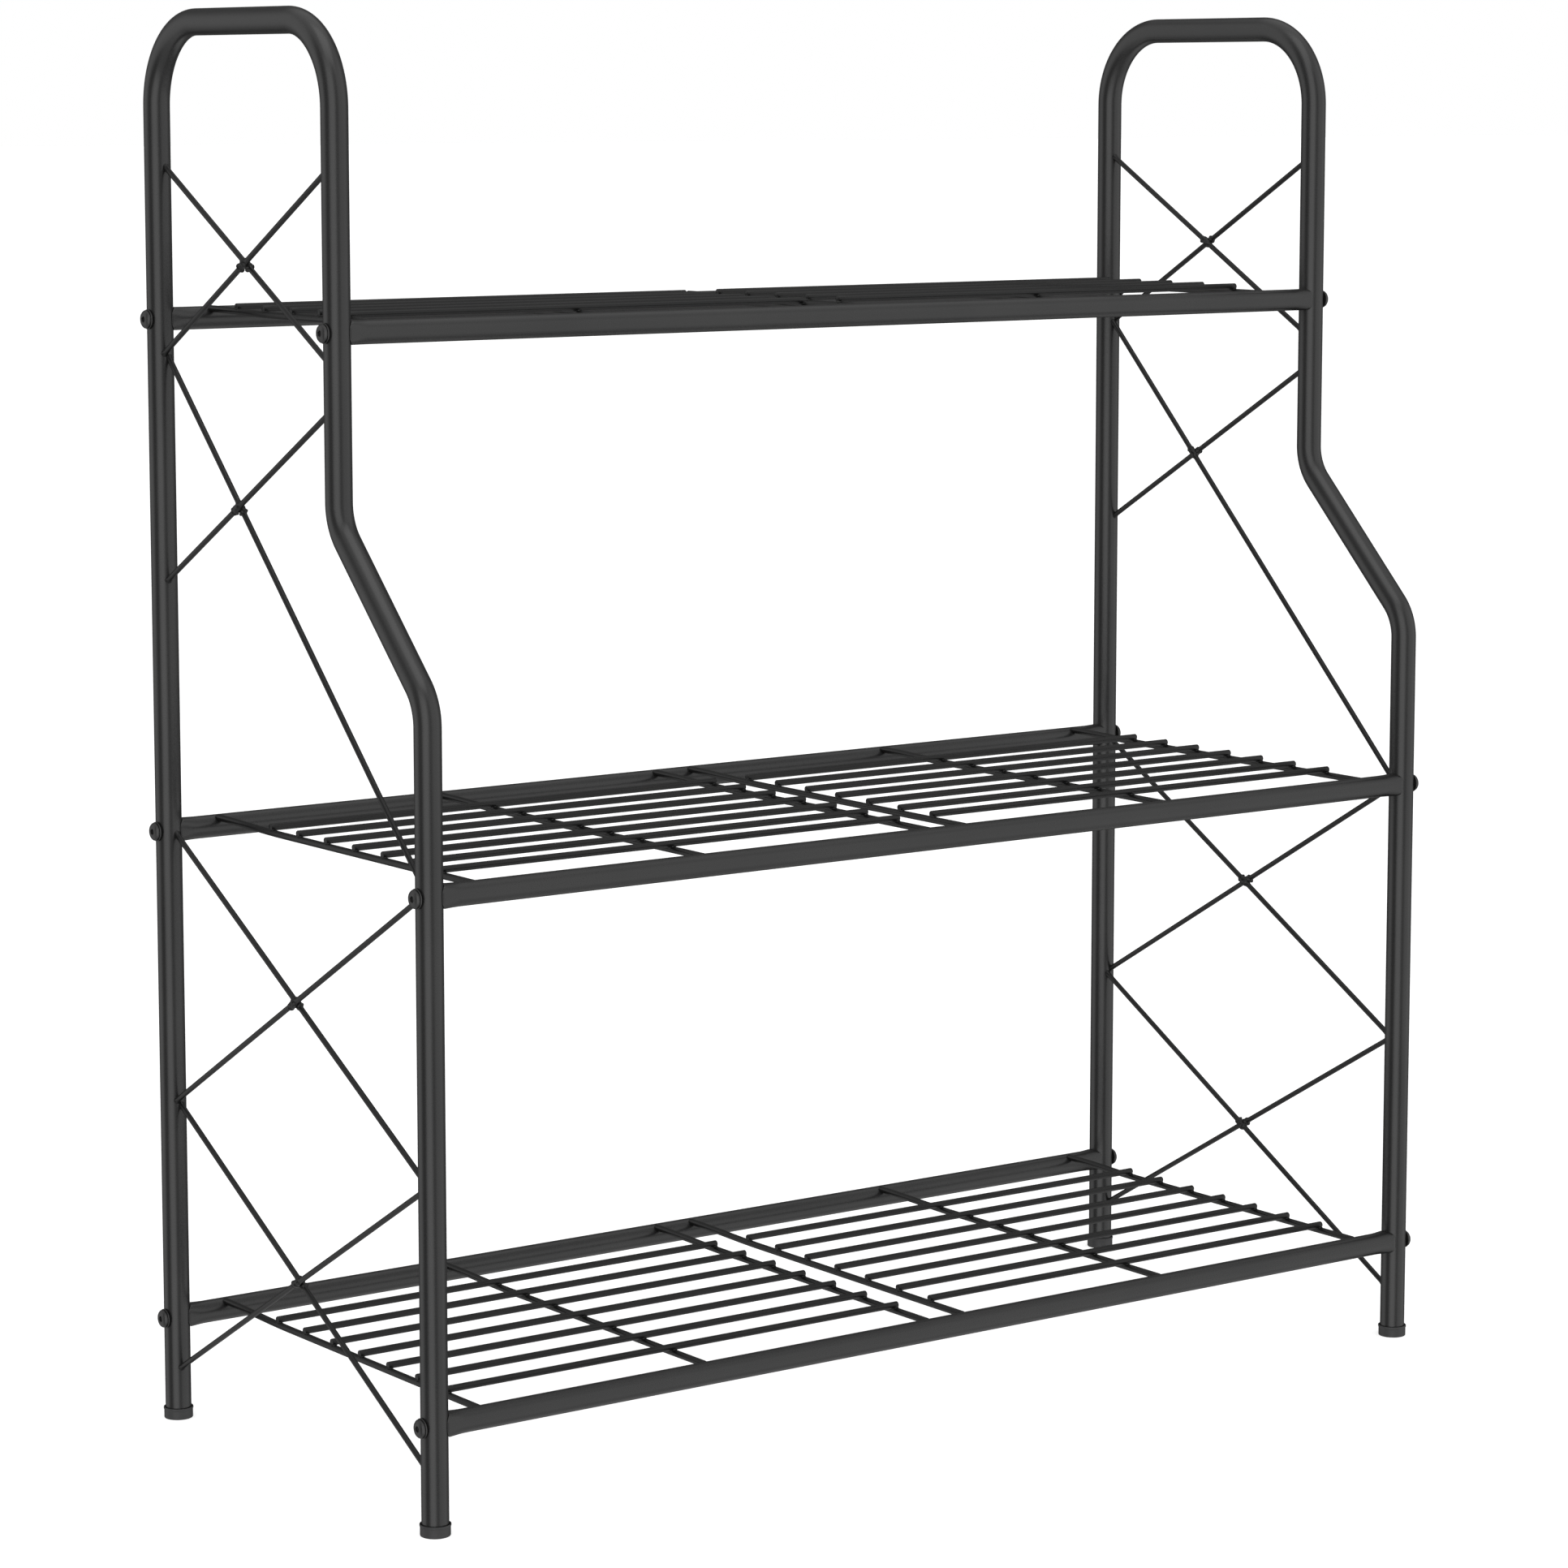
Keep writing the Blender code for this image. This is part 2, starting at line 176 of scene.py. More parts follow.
# ---------------------------------------------------------------- mesh helpers
def rounded_path(corners, radii, step_degrees):
    """Points of a polyline whose inner corners are arcs of the given radii."""
    points = [Vector(corners[0])]
    for before, corner, after, radius in zip(corners, corners[1:], corners[2:], radii):
        corner = Vector(corner)
        back = (Vector(before) - corner).normalized()
        ahead = (Vector(after) - corner).normalized()
        turn = math.pi - back.angle(ahead)
        if radius == 0 or turn < 0.01:
            points.append(corner)
            continue
        centre = corner + (back + ahead).normalized() * radius / math.cos(turn / 2)
        first = corner + back * radius * math.tan(turn / 2) - centre
        last = corner + ahead * radius * math.tan(turn / 2) - centre
        steps = max(2, round(math.degrees(turn) / step_degrees))
        for step in range(steps + 1):
            share = step / steps
            spoke = first * math.sin((1 - share) * turn) + last * math.sin(share * turn)
            points.append(centre + spoke / math.sin(turn))
    points.append(Vector(corners[-1]))
    return points


def circle(centre, across, up, radius, sides):
    """Points of a circle in the plane of across and up."""
    points = []
    for step in range(sides):
        angle = 2 * math.pi * step / sides
        points.append(centre + across * radius * math.cos(angle) + up * radius * math.sin(angle))
    return points


def add_loft(shell, rings, wrap=False):
    """Skins a row of rings. With wrap the last ring joins the first, else both ends are capped."""
    loops = [[shell.verts.new(point) for point in ring] for ring in rings]
    count = len(rings[0])
    pairs = list(zip(loops, loops[1:]))
    if wrap:
        pairs.append((loops[-1], loops[0]))
    for here, there in pairs:
        for step in range(count):
            after = (step + 1) % count
            shell.faces.new((here[step], here[after], there[after], there[step]))
    if not wrap:
        shell.faces.new(loops[0])
        shell.faces.new(loops[-1])


def make_piece(name, shell):
    bmesh.ops.recalc_face_normals(shell, faces=shell.faces)
    mesh = bpy.data.meshes.new(name)
    shell.to_mesh(mesh)
    shell.free()
    piece = bpy.data.objects.new(name, mesh)
    bpy.context.scene.collection.objects.link(piece)
    return piece


def loft_piece(name, rings, wrap=False):
    shell = bmesh.new()
    add_loft(shell, rings, wrap)
    return make_piece(name, shell)


def sweep_rings(path, radii, across, sides):
    """Circles along a path that stays at right angles to across. radii has one value a point."""
    rings = []
    for index, (point, radius) in enumerate(zip(path, radii)):
        along = path[min(index + 1, len(path) - 1)] - path[max(index - 1, 0)]
        up = along.normalized().cross(across)
        rings.append(circle(point, across, up, radius, sides))
    return rings


def lathe_rings(origin, axis, profile, sides):
    """Circles of a turned shape. profile is (distance along axis, radius)."""
    across = axis.orthogonal().normalized()
    up = axis.cross(across)
    return [circle(origin + axis * distance, across, up, radius, sides)
            for distance, radius in profile]


def install(piece, node, material):
    """Puts a finished piece in the place of its CAD node."""
    piece.data.materials.clear()
    piece.data.materials.append(material)
    piece.data.shade_smooth()
    piece.data.set_sharp_from_angle(angle=math.radians(CREASE))
    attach(piece, "root")
    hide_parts(node)


# ---------------------------------------------------------------- materials
NOISE_LOW = 0.3            # most of a noise texture lies between these two values
NOISE_HIGH = 0.7


def new_material(name, roughness, metallic, specular):
    """A material and its Principled shader."""
    material = bpy.data.materials.new(name)
    material.use_nodes = True
    shader = material.node_tree.nodes["Principled BSDF"]
    shader.inputs["Roughness"].default_value = roughness
    shader.inputs["Metallic"].default_value = metallic
    shader.inputs["Specular IOR Level"].default_value = specular
    return material, shader


def add_noise(tree, position, scale, detail, roughness=0.5):
    """Noise from 0 to 1 over a position."""
    texture = tree.nodes.new("ShaderNodeTexNoise")
    texture.inputs["Scale"].default_value = scale
    texture.inputs["Detail"].default_value = detail
    texture.inputs["Roughness"].default_value = roughness
    tree.links.new(position, texture.inputs["Vector"])
    return texture.outputs["Fac"]


def spread(tree, value, low, high, out_low, out_high):
    """Maps value from low..high to out_low..out_high."""
    mapping = tree.nodes.new("ShaderNodeMapRange")
    mapping.inputs["From Min"].default_value = low
    mapping.inputs["From Max"].default_value = high
    mapping.inputs["To Min"].default_value = out_low
    mapping.inputs["To Max"].default_value = out_high
    tree.links.new(value, mapping.inputs["Value"])
    return mapping.outputs["Result"]


def tint(tree, value, dark, light):
    """A colour between dark and light, for a noise value."""
    ramp = tree.nodes.new("ShaderNodeValToRGB")
    ramp.color_ramp.elements[0].position = NOISE_LOW
    ramp.color_ramp.elements[0].color = (*dark, 1)
    ramp.color_ramp.elements[1].position = NOISE_HIGH
    ramp.color_ramp.elements[1].color = (*light, 1)
    tree.links.new(value, ramp.inputs["Fac"])
    return ramp.outputs["Color"]


def bump(tree, height, distance, strength, onto=None):
    """A bumped normal, on top of another one where onto is given."""
    ridge = tree.nodes.new("ShaderNodeBump")
    ridge.inputs["Distance"].default_value = distance
    ridge.inputs["Strength"].default_value = strength
    tree.links.new(height, ridge.inputs["Height"])
    if onto is not None:
        tree.links.new(onto, ridge.inputs["Normal"])
    return ridge.outputs["Normal"]


def object_position(tree):
    """Place on a piece, in its own coordinates."""
    return tree.nodes.new("ShaderNodeTexCoord").outputs["Object"]


def powder_coat(name, dark, light, specular):
    """Satin black powder coat: orange peel, a fine speckle and faint cloudy patches."""
    material, shader = new_material(name, roughness=0.30, metallic=0.0, specular=specular)
    tree = material.node_tree
    position = object_position(tree)
    clouds = add_noise(tree, position, scale=14, detail=3)
    peel = add_noise(tree, position, scale=650, detail=2)
    speckle = add_noise(tree, position, scale=2600, detail=1)
    tree.links.new(tint(tree, clouds, dark, light), shader.inputs["Base Color"])
    tree.links.new(spread(tree, speckle, NOISE_LOW, NOISE_HIGH, 0.27, 0.34), shader.inputs["Roughness"])
    grain = bump(tree, speckle, distance=0.00003, strength=0.25)
    surface = bump(tree, peel, distance=0.0001, strength=0.18, onto=grain)
    tree.links.new(surface, shader.inputs["Normal"])
    return material


def black_zinc():
    """Blackened screw steel with fine tool marks and paler rubbed patches."""
    material, shader = new_material("black_zinc", roughness=0.34, metallic=0.55, specular=0.5)
    tree = material.node_tree
    position = object_position(tree)
    patches = add_noise(tree, position, scale=220, detail=3)
    marks = add_noise(tree, position, scale=1800, detail=2)
    tree.links.new(tint(tree, patches, (0.040, 0.040, 0.041), (0.058, 0.057, 0.056)),
                   shader.inputs["Base Color"])
    tree.links.new(spread(tree, patches, NOISE_LOW, NOISE_HIGH, 0.28, 0.42), shader.inputs["Roughness"])
    surface = bump(tree, marks, distance=0.00004, strength=0.3)
    tree.links.new(surface, shader.inputs["Normal"])
    return material


def cap_plastic():
    """Moulded black plastic with a fine spark-eroded grain."""
    material, shader = new_material("cap_plastic", roughness=0.55, metallic=0.0, specular=0.45)
    tree = material.node_tree
    position = object_position(tree)
    clouds = add_noise(tree, position, scale=60, detail=2)
    grain = add_noise(tree, position, scale=1500, detail=3, roughness=0.7)
    tree.links.new(tint(tree, clouds, (0.030, 0.030, 0.031), (0.040, 0.040, 0.041)),
                   shader.inputs["Base Color"])
    tree.links.new(spread(tree, grain, NOISE_LOW, NOISE_HIGH, 0.48, 0.62), shader.inputs["Roughness"])
    surface = bump(tree, grain, distance=0.00006, strength=0.5)
    tree.links.new(surface, shader.inputs["Normal"])
    return material


# ---------------------------------------------------------------- side tubes
def make_side_tube(side, coat):
    """Bent tube with a real wall, open at both feet and with softened cut ends."""
    x = SIDES[side] * LEG_X
    foot_z = tube_low.z
    corners = [(BACK_Y, foot_z), (BACK_Y, HANDLE_Z), (TOP_FRONT_Y, HANDLE_Z),
               (TOP_FRONT_Y, STEP_TOP_Z), (BASE_FRONT_Y, STEP_LOW_Z), (BASE_FRONT_Y, foot_z)]
    bends = [HANDLE_BEND, HANDLE_BEND, STEP_BEND, STEP_BEND]
    flat = rounded_path(corners, bends, BEND_STEP)
    path = [Vector((x, point.x, point.y)) for point in flat]
    path.insert(1, path[0] + Z_AXIS * TUBE_END_SOFTENING)
    path.insert(-1, path[-1] + Z_AXIS * TUBE_END_SOFTENING)
    outer = [TUBE_RADIUS] * len(path)
    outer[0] = outer[-1] = TUBE_RADIUS - TUBE_END_SOFTENING
    inner = [TUBE_RADIUS - TUBE_WALL] * len(path)
    rings = sweep_rings(path, outer, X_AXIS, TUBE_SIDES)
    rings += reversed(sweep_rings(path, inner, X_AXIS, TUBE_SIDES))
    piece = loft_piece(f"frame_tube_{side}", rings, wrap=True)
    install(piece, f"side_tube_{side}", coat)


# ---------------------------------------------------------------- braces
def brace_line(side, label):
    """Middle point and direction (towards the front) of a brace rod, from its CAD node."""
    angle = BRACE_ANGLE.get(label, BRACE_ANGLE.get(label[0]))
    drop = -1 if label.endswith("falling") else 1
    slope = math.radians(angle)
    middle = middle_of(f"brace_{side}_{label}")
    plane_x = SIDES[side] * LEG_X
    middle.x = plane_x + (middle.x - plane_x) * BRACE_SET_DOWN
    return middle, Vector((0, -math.cos(slope), drop * math.sin(slope)))


def weld_swell(distance, seed):
    """Extra radius of a rod this far from its crossing: a blob and a bead to each side."""
    reach = BEAD_REACH + BEAD_REACH_SPREAD * noise.noise(Vector((seed, REACH_ROW, 0)))
    height = BEAD_HEIGHT + BEAD_HEIGHT_SPREAD * noise.noise(Vector((seed, HEIGHT_ROW, 0)))
    bead = height * math.exp(-((abs(distance) - reach) / BEAD_WIDTH) ** 2)
    return bead + BLOB_HEIGHT * math.exp(-(distance / BLOB_WIDTH) ** 2)


def roughen(ring, centre, share, seed):
    """Pushes the points of a ring in and out by up to this share of its radius."""
    lumpy = []
    for point in ring:
        wave = noise.noise(point * LUMP_FREQUENCY + Vector((seed, 0, 0)))
        lumpy.append(centre + (point - centre) * (1 + share * wave))
    return lumpy


def hash_name(text):
    """A steady number from a name."""
    return sum((place + 1) * ord(letter) for place, letter in enumerate(text)) * SEED_STEP


def make_brace(side, label, coat):
    """Straight rod with spot-weld lumps where it crosses its partner and a fillet at each leg."""
    middle, along = brace_line(side, label)
    number = label[0]
    front_y = TOP_FRONT_Y if label in SHORT_BRACES else BASE_FRONT_Y
    start = middle + along * ((BACK_Y - TUBE_RADIUS + EMBED - middle.y) / along.y)
    end = middle + along * ((front_y + TUBE_RADIUS - EMBED - middle.y) / along.y)
    length = (end - start).length
    partner = "rising" if label.endswith("falling") else "falling"
    other, other_along = brace_line(side, f"{number}_{partner}")
    # Where the two lines cross, seen along X.
    across = other_along.y * along.z - other_along.z * along.y
    gap = other - start
    crossing = (other_along.y * gap.z - other_along.z * gap.y) / across
    distances = {0, length}
    for step in range(BRACE_END_RINGS):
        distances.update((step * BRACE_RING_STEP, length - step * BRACE_RING_STEP))
    for step in range(-BRACE_WELD_RINGS, BRACE_WELD_RINGS + 1):
        distances.add(crossing + step * BRACE_RING_STEP)
    path = []
    radii = []
    lumpiness = []
    seed = hash_name(side + label)
    for distance in sorted(distances):
        nearest_end = min(distance, length - distance)
        fillet = FILLET_HEIGHT * max(0.0, 1 - nearest_end / FILLET_LENGTH) ** 2
        swell = weld_swell(distance - crossing, seed + (distance > crossing))
        path.append(start + along * distance)
        radii.append(BRACE_RADIUS + fillet + swell)
        lumpiness.append(min(LUMP_LIMIT, swell / BRACE_RADIUS * LUMP_SHARE))
    rings = [roughen(ring, point, share, seed) for ring, point, share
             in zip(sweep_rings(path, radii, X_AXIS, BRACE_SIDES), path, lumpiness)]
    piece = loft_piece(f"brace_rod_{side}_{label}", rings)
    install(piece, f"brace_{side}_{label}", coat)


# ---------------------------------------------------------------- rails
def section_point(angle, radius, squareness):
    """A point of a tube's section, from its middle."""
    cosine = math.cos(angle)
    sine = math.sin(angle)
    reach = radius * (abs(cosine) ** squareness + abs(sine) ** squareness) ** (-1 / squareness)
    return reach * cosine, reach * sine


def saddle_ring(sign, y, z, radius, back_off, squareness):
    """A ring that follows the leg: each point lies back_off short of the leg's surface."""
    points = []
    for step in range(RAIL_SIDES):
        sideways, up = section_point(2 * math.pi * step / RAIL_SIDES, radius, squareness)
        reach = LEG_X - math.sqrt(TUBE_RADIUS ** 2 - sideways ** 2) - back_off
        points.append(Vector((sign * reach, y + sideways, z + up)))
    return points


def rail_end(sign, y, z):
    """Rings from the bottom of the screw bore, out over the saddle, to the outside of the tube.

    The punch that cuts the saddle also presses the end of the tube a little square.
    """
    centre = Vector((sign * LEG_X, y, z))
    inward = X_AXIS * -sign
    point = centre + inward * (SCREW_BORE_DEPTH + BORE_POINT_DEPTH)
    bottom = centre + inward * SCREW_BORE_DEPTH
    rings = [circle(point, Y_AXIS, Z_AXIS, BORE_POINT_RADIUS, RAIL_SIDES),
             circle(bottom, Y_AXIS, Z_AXIS, SCREW_BORE_RADIUS, RAIL_SIDES)]
    middle_radius, middle_squareness = SADDLE_MIDDLE
    saddle = [
        (SCREW_BORE_RADIUS, BORE_CHAMFER_BACK_OFF, ROUND),
        (SCREW_BORE_RADIUS + BORE_CHAMFER, CONTACT, ROUND),
        (middle_radius, CONTACT, middle_squareness),
        (RAIL_RADIUS - SADDLE_RIM, CONTACT, END_SQUARENESS),
        (RAIL_RADIUS - SADDLE_RIM_CORNER, CONTACT + SADDLE_RIM_CORNER, END_SQUARENESS),
        (RAIL_RADIUS, CONTACT + SADDLE_RIM, END_SQUARENESS),
    ]
    for share in PRESSED_SHARES:
        squareness = ROUND + (END_SQUARENESS - ROUND) * (1 - share) ** 2
        back_off = CONTACT + SADDLE_RIM + share * END_PRESSED_LENGTH
        saddle.append((RAIL_RADIUS, back_off, squareness))
    for radius, back_off, squareness in saddle:
        rings.append(saddle_ring(sign, y, z, radius, back_off, squareness))
    return rings


def make_rail(tier, place, coat):
    """Tube between two legs, closed by its bored plugs."""
    middle = middle_of(f"rail_{tier}_{place}")
    rings = rail_end(-1, middle.y, middle.z)
    rings += reversed(rail_end(1, middle.y, middle.z))
    piece = loft_piece(f"shelf_rail_{tier}_{place}", rings)
    install(piece, f"rail_{tier}_{place}", coat)


# ---------------------------------------------------------------- wire panels
def wire_rings(path, across):
    """Rings of a wire with a softened shear cut at both ends."""
    soft = WIRE_END_SOFTENING
    corner = WIRE_END_CORNER
    first = (path[1] - path[0]).normalized()
    last = (path[-2] - path[-1]).normalized()
    full = [path[0], path[0] + first * soft * corner, path[0] + first * soft]
    full += path[1:-1]
    full += [path[-1] + last * soft, path[-1] + last * soft * corner, path[-1]]
    radii = [WIRE_RADIUS] * len(full)
    radii[0] = radii[-1] = WIRE_RADIUS - soft
    radii[1] = radii[-2] = WIRE_RADIUS - soft * corner
    return sweep_rings(full, radii, across, WIRE_SIDES)


def long_wire_ys(tier):
    """Where the long wires lie, from back to front."""
    first = BACK_Y - FIRST_WIRE_SETBACK[tier]
    return [first - index * LONG_WIRE_PITCH for index in range(LONG_WIRE_COUNT[tier])]


def cross_wire_z(tier, y):
    """Axis height of a cross wire: level, but kicked up at the back onto the rail's shoulder."""
    share = min(1.0, max(0.0, (y - (BACK_Y - RAIL_RADIUS - KICK_LENGTH)) / KICK_LENGTH))
    return RAIL_Z[tier] + CROSS_WIRE_RISE + CROSS_WIRE_KICK * share * share * (3 - 2 * share)


def shoulder_y(centre_y, rise, towards):
    """Where a wire at this height above a rail's axis meets the rail, a little inside its skin."""
    return centre_y + towards * (math.sqrt(RAIL_RADIUS ** 2 - rise ** 2) - SHOULDER_SINK)


def make_long_wires(name, tier, low, high, cross_xs):
    """Straight wires along X, with extra rings beside each crossing."""
    shell = bmesh.new()
    for y in long_wire_ys(tier):
        stops = [low.x, high.x]
        for x in cross_xs:
            stops += [x - CROSSING_REACH, x + CROSSING_REACH]
        stops = sorted(stop for stop in stops if low.x <= stop <= high.x)
        path = [Vector((x, y, RAIL_Z[tier] + LONG_WIRE_RISE)) for x in stops]
        add_loft(shell, wire_rings(path, Y_AXIS))
    return make_piece(name, shell)


def make_cross_wires(tier, cross_xs):
    """Wires from the front rail's shoulder to the back rail's."""
    shell = bmesh.new()
    y_back = shoulder_y(BACK_Y, CROSS_WIRE_RISE + CROSS_WIRE_KICK, -1)
    y_front = shoulder_y(FRONT_Y[tier], CROSS_WIRE_RISE, 1)
    stops = {y_back, y_front}
    for step in range(KICK_STEPS + 1):
        stops.add(BACK_Y - RAIL_RADIUS - KICK_LENGTH * step / KICK_STEPS)
    for y in long_wire_ys(tier):
        stops.update((y - CROSSING_REACH, y + CROSSING_REACH))
    ordered = sorted(stop for stop in stops if y_front <= stop <= y_back)
    for x in cross_xs:
        path = [Vector((x, y, cross_wire_z(tier, y))) for y in ordered]
        add_loft(shell, wire_rings(path, X_AXIS))
    return make_piece("cross_wires", shell)


def make_nuggets(tier, cross_xs):
    """A flat weld nugget between the two wires of each crossing."""
    shell = bmesh.new()
    long_z = RAIL_Z[tier] + LONG_WIRE_RISE
    for y in long_wire_ys(tier):
        for x in cross_xs:
            centre = Vector((x, y, (long_z + cross_wire_z(tier, y)) / 2))
            add_loft(shell, lathe_rings(centre, Z_AXIS, NUGGET_PROFILE, NUGGET_SIDES))
    return make_piece("nuggets", shell)


def weld_together(piece, tools):
    """Unites the tools with the piece, which becomes one closed mesh, and removes them."""
    for tool in tools:
        merge = piece.modifiers.new("weld", "BOOLEAN")
        merge.operation = "UNION"
        merge.solver = "EXACT"
        merge.object = tool
    graph = bpy.context.evaluated_depsgraph_get()
    welded = bpy.data.meshes.new_from_object(piece.evaluated_get(graph))
    piece.modifiers.clear()
    piece.data = welded
    for tool in tools:
        bpy.data.objects.remove(tool, do_unlink=True)


def make_panel(tier, side, coat):
    """Long wires welded onto three cross wires, with a flat nugget at each crossing."""
    node = f"wire_panel_{tier}_{side}"
    low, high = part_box(node)
    middle_x = (low.x + high.x) / 2
    cross_xs = [low.x + CROSS_WIRE_INSET, middle_x + MIDDLE_CROSS_SHIFT, high.x - CROSS_WIRE_INSET]
    panel = make_long_wires(f"wire_shelf_{tier}_{side}", tier, low, high, cross_xs)
    weld_together(panel, (make_cross_wires(tier, cross_xs), make_nuggets(tier, cross_xs)))
    install(panel, node, coat)


# ---------------------------------------------------------------- screws and washers
def hexagon(centre, across, up, apothem, sides):
    """Points round a hexagon, at even angles, to join up with circles."""
    points = []
    for step in range(sides):
        angle = 2 * math.pi * step / sides
        local = (angle + math.pi / 6) % (math.pi / 3) - math.pi / 6
        reach = apothem / math.cos(local)
        points.append(centre + across * reach * math.cos(angle) + up * reach * math.sin(angle))
    return points


def outboard_span(node, side):
    """Point of the leg axis behind a fastener, its outboard axis, and where it starts and ends."""
    low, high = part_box(node)
    origin = Vector((SIDES[side] * LEG_X, (low.y + high.y) / 2, (low.z + high.z) / 2))
    axis = X_AXIS * SIDES[side]
    if side == "right":
        return origin, axis, low.x - LEG_X, high.x - LEG_X
    return origin, axis, -high.x - LEG_X, -low.x - LEG_X


def make_screw(name, side, zinc):
    """Button-head socket screw: domed head, hexagon socket, shank into the rail."""
    node = f"screw_{name}_{side}"
    origin, axis, tip, top = outboard_span(node, side)
    seat = top - HEAD_HEIGHT
    dome_height, dome_radius = DOME_CORNER
    corners = [
        (tip, SHANK_TIP_FLAT),
        (tip, SHANK_TIP_RADIUS),
        (tip + SHANK_TIP_LENGTH, SHANK_RADIUS),
        (seat, SHANK_RADIUS),
        (seat, HEAD_RADIUS),
        (seat + HEAD_SIDE, HEAD_RADIUS),
        (seat + dome_height, dome_radius),
        (top, HEAD_TOP_RADIUS),
        (top, SOCKET_MOUTH_RADIUS),
    ]
    profile = rounded_path(corners, SCREW_SOFTENING, SCREW_ARC_STEP)
    rings = lathe_rings(origin, axis, [(point.x, point.y) for point in profile], LATHE_SIDES)
    across = axis.orthogonal().normalized()
    up = axis.cross(across)
    for depth, apothem in SOCKET_RINGS:
        rings.append(hexagon(origin + axis * (top - depth), across, up, apothem, LATHE_SIDES))
    piece = loft_piece(f"bolt_{name}_{side}", rings)
    install(piece, node, zinc)


def make_washer(name, side, zinc):
    """Flat washer with a softened outer rim."""
    node = f"washer_{name}_{side}"
    origin, axis, inner, outer = outboard_span(node, side)
    profile = [
        (inner, WASHER_HOLE),
        (inner, WASHER_RADIUS - WASHER_RIM),
        (inner + WASHER_RIM, WASHER_RADIUS),
        (outer - WASHER_RIM, WASHER_RADIUS),
        (outer, WASHER_RADIUS - WASHER_RIM),
        (outer, WASHER_HOLE),
    ]
    rings = lathe_rings(origin, axis, profile, LATHE_SIDES)
    piece = loft_piece(f"ring_{name}_{side}", rings, wrap=True)
    install(piece, node, zinc)


# ---------------------------------------------------------------- foot caps
def make_cap(place, side, plastic):
    """Push-on cup: softly rounded sole, slight waist under a lip, and a chamfered mouth."""
    node = f"foot_cap_{place}_{side}"
    low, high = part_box(node)
    origin = Vector(((low.x + high.x) / 2, (low.y + high.y) / 2, low.z))
    radius = (high.x - low.x) / 2
    height = high.z - low.z
    well = TUBE_RADIUS + CONTACT
    well_floor = tube_low.z - CONTACT
    pip_height, pip_radius = CAP_PIP
    mouth_depth, mouth_width = CAP_MOUTH
    outline = [
        (pip_height, pip_radius),
        (pip_height, radius - CAP_DISH_INSET),
        (0.0, radius - CAP_SOLE_INSET),
        (0.0, radius - CAP_WAIST),
        (CAP_BODY_START, radius - CAP_WAIST),
        (height - CAP_LIP_START, radius - CAP_WAIST),
        (height - CAP_LIP_FULL, radius),
        (height, radius),
        (height, well + mouth_width),
        (height - mouth_depth, well),
        (well_floor, well),
        (well_floor, pip_radius),
    ]
    profile = rounded_path(outline, CAP_SOFTENING, CAP_ARC_STEP)
    rings = lathe_rings(origin, Z_AXIS, [(point.x, point.y) for point in profile], LATHE_SIDES)
    piece = loft_piece(f"cap_{place}_{side}", rings)
    install(piece, node, plastic)


# ---------------------------------------------------------------- studio
CAMERA_YAW = math.radians(36.107)
CAMERA_PITCH = math.radians(7.411)
CAMERA_PLACE = Vector((-1.7571, -2.3864, 0.8194))
CAMERA_LENS = 108.584
CAMERA_SHIFT = -0.05
CAMERA_SENSOR = 36
CAMERA_CLIP_END = 200
FLOOR_HALF_SIZE = 60
FLOOR_GLOW = 0.60
SOFTBOX_SIZE = 2.0
SOFTBOX_PLACE = Vector((-0.4, -0.8, 3.0))
SOFTBOX_AIM = Vector((0, 0, 0.4))
SOFTBOX_WATTS = 12
BACKDROP_LIGHT = 1.0
ROOM_LIGHT = 1.7
# Tall panels round the rack: degrees from the camera's side towards its right, and brightness.
ROOM_PANELS = [(-180, 0.06), (-150, 0.06), (-130, 0.16), (-112, 0.48), (-86, 0.60), (-68, 0.13),
               (-44, 0.11), (-30, 0.94), (8, 0.99), (20, 0.22), (34, 0.22), (46, 0.62),
               (104, 0.58), (122, 0.22), (148, 0.07), (180, 0.06)]
# Floor and ceiling, beyond the ends of the panels: sine of the elevation, and brightness.
FLOOR_AND_CEILING = [(-1, 0.40), (-0.5, 0.36), (0.4, 0.26), (1, 0.50)]
PANEL_END = (0.58, 0.74)   # sine of the elevation where the panels fade out
MIX_COLOUR_A = 6           # sockets of the Mix node's colour mode
MIX_COLOUR_B = 7
MIX_COLOUR_RESULT = 2


def make_floor():
    """Pale paper floor that glows a little, as if lit evenly from above."""
    shell = bmesh.new()
    bmesh.ops.create_grid(shell, x_segments=8, y_segments=8, size=FLOOR_HALF_SIZE)
    floor = make_piece("floor", shell)
    material, shader = new_material("floor_paper", roughness=0.85, metallic=0.0, specular=0.2)
    tree = material.node_tree
    fibres = add_noise(tree, object_position(tree), scale=120, detail=3)
    tree.links.new(tint(tree, fibres, (0.80, 0.80, 0.80), (0.83, 0.83, 0.83)),
                   shader.inputs["Base Color"])
    shader.inputs["Emission Color"].default_value = (1, 1, 1, 1)
    shader.inputs["Emission Strength"].default_value = FLOOR_GLOW
    floor.data.materials.append(material)
    floor.visible_diffuse = False
    floor.visible_glossy = False


def brightness_ramp(tree, value, stops):
    """A smooth curve through (position, brightness) stops, for a value from 0 to 1."""
    ramp = tree.nodes.new("ShaderNodeValToRGB")
    ramp.color_ramp.interpolation = "EASE"
    marks = ramp.color_ramp.elements
    while len(marks) < len(stops):
        marks.new(0.5)
    for mark, (position, brightness) in zip(marks, stops):
        mark.position = position
        mark.color = (brightness, brightness, brightness, 1)
    tree.links.new(value, ramp.inputs["Fac"])
    return ramp.outputs["Color"]


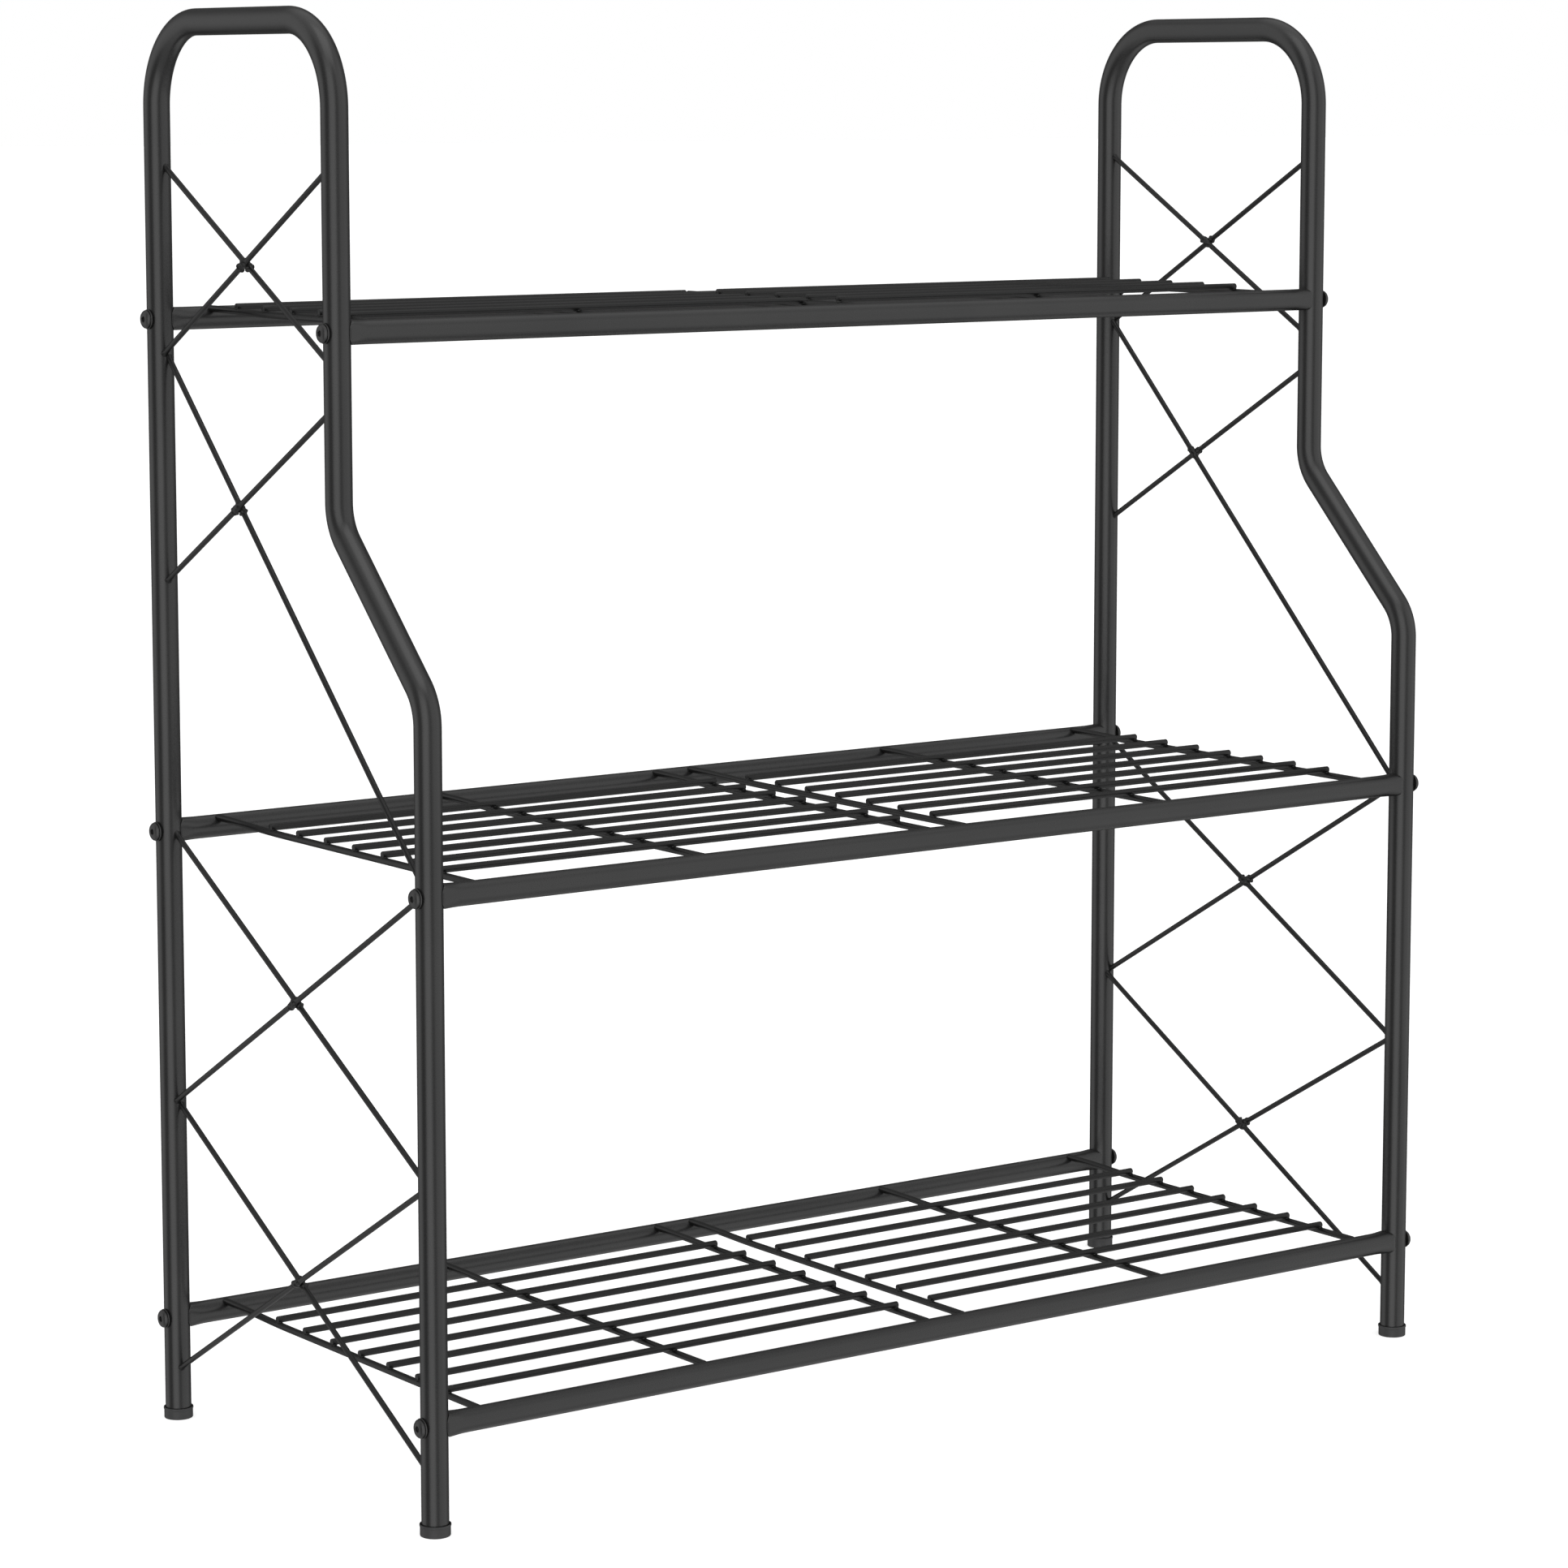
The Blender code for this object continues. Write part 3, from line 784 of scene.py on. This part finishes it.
def math_node(tree, operation, first, second):
    """Result of a Math node on two values, each a number or a socket."""
    combined = tree.nodes.new("ShaderNodeMath")
    combined.operation = operation
    for socket, value in zip(combined.inputs, (first, second)):
        if isinstance(value, (int, float)):
            socket.default_value = value
        else:
            tree.links.new(value, socket)
    return combined.outputs["Value"]


def along_direction(tree, direction, towards):
    """How far a direction of the room points towards a fixed vector."""
    dot = tree.nodes.new("ShaderNodeVectorMath")
    dot.operation = "DOT_PRODUCT"
    tree.links.new(direction, dot.inputs[0])
    dot.inputs[1].default_value = towards
    return dot.outputs["Value"]


def make_world():
    """White backdrop for the eye, and round it a room of tall soft panels for the reflections."""
    world = bpy.data.worlds.new("studio")
    bpy.context.scene.world = world
    world.use_nodes = True
    tree = world.node_tree
    direction = tree.nodes.new("ShaderNodeTexCoord").outputs["Generated"]
    front = Vector((CAMERA_PLACE.x, CAMERA_PLACE.y, 0)).normalized()
    right = front.cross(Z_AXIS) * -1
    sideways = along_direction(tree, direction, right)
    forwards = along_direction(tree, direction, front)
    bearing = math_node(tree, "ARCTAN2", sideways, forwards)
    turn = spread(tree, bearing, -math.pi, math.pi, 0, 1)
    rise = along_direction(tree, direction, Z_AXIS)
    panels = brightness_ramp(tree, turn,
                             [((degrees + 180) / 360, level) for degrees, level in ROOM_PANELS])
    ends = brightness_ramp(tree, spread(tree, rise, -1, 1, 0, 1),
                           [((sine + 1) / 2, level) for sine, level in FLOOR_AND_CEILING])
    beyond = spread(tree, math_node(tree, "ABSOLUTE", rise, 0), *PANEL_END, 0, 1)
    mix = tree.nodes.new("ShaderNodeMix")
    mix.data_type = "RGBA"
    tree.links.new(beyond, mix.inputs["Factor"])
    tree.links.new(panels, mix.inputs[MIX_COLOUR_A])
    tree.links.new(ends, mix.inputs[MIX_COLOUR_B])
    room = tree.nodes["Background"]
    tree.links.new(mix.outputs[MIX_COLOUR_RESULT], room.inputs["Color"])
    room.inputs["Strength"].default_value = ROOM_LIGHT
    backdrop = tree.nodes.new("ShaderNodeBackground")
    backdrop.inputs["Color"].default_value = (1, 1, 1, 1)
    backdrop.inputs["Strength"].default_value = BACKDROP_LIGHT
    ray = tree.nodes.new("ShaderNodeLightPath")
    choice = tree.nodes.new("ShaderNodeMixShader")
    tree.links.new(ray.outputs["Is Camera Ray"], choice.inputs["Fac"])
    tree.links.new(room.outputs["Background"], choice.inputs[1])
    tree.links.new(backdrop.outputs["Background"], choice.inputs[2])
    tree.links.new(choice.outputs["Shader"], tree.nodes["World Output"].inputs["Surface"])


def make_softbox():
    """Square soft light above the rack, aimed at its middle and not seen itself."""
    light = bpy.data.lights.new("ceiling_softbox", "AREA")
    light.shape = "RECTANGLE"
    light.size = SOFTBOX_SIZE
    light.size_y = SOFTBOX_SIZE
    light.energy = SOFTBOX_WATTS
    lamp = bpy.data.objects.new("ceiling_softbox", light)
    bpy.context.scene.collection.objects.link(lamp)
    lamp.location = SOFTBOX_PLACE
    lamp.visible_camera = False
    lamp.rotation_euler = (SOFTBOX_AIM - SOFTBOX_PLACE).to_track_quat("-Z", "Y").to_euler()


def make_camera():
    """Long lens from the front left, tilted a little down."""
    data = bpy.data.cameras.new("camera")
    data.sensor_width = CAMERA_SENSOR
    data.lens = CAMERA_LENS
    data.shift_y = CAMERA_SHIFT
    data.clip_end = CAMERA_CLIP_END
    camera = bpy.data.objects.new("camera", data)
    bpy.context.scene.collection.objects.link(camera)
    camera.location = CAMERA_PLACE
    camera.rotation_euler = (math.pi / 2 - CAMERA_PITCH, 0, -CAMERA_YAW)
    bpy.context.scene.camera = camera
    bpy.context.scene.view_settings.view_transform = "Standard"


# ---------------------------------------------------------------- everything together
def build():
    """Every piece of the rack, each with its material."""
    tube_coat = powder_coat("tube_powder_coat", (0.0130, 0.0130, 0.0134), (0.0185, 0.0183, 0.0181),
                            specular=0.55)
    # Wires and brace rods get the tubes' own powder coat painted darker and with less specular: painted
    # shade for the darker look of thin rods.
    shaded_wire_coat = powder_coat("wire_powder_coat_painted_shade", (0.0072, 0.0072, 0.0075), (0.0110, 0.0109, 0.0107),
                            specular=0.30)
    zinc = black_zinc()
    plastic = cap_plastic()
    for side in SIDES:
        make_side_tube(side, tube_coat)
        for number in "1234":
            for lean in ("falling", "rising"):
                make_brace(side, f"{number}_{lean}", shaded_wire_coat)
        for place in ("back", "front"):
            make_cap(place, side, plastic)
            for tier in TIERS:
                make_screw(f"{tier}_{place}", side, zinc)
                make_washer(f"{tier}_{place}", side, zinc)
        for tier in TIERS:
            make_panel(tier, side, shaded_wire_coat)
    for tier in TIERS:
        for place in ("back", "front"):
            make_rail(tier, place, tube_coat)


make_camera()
make_floor()
make_world()
make_softbox()
build()
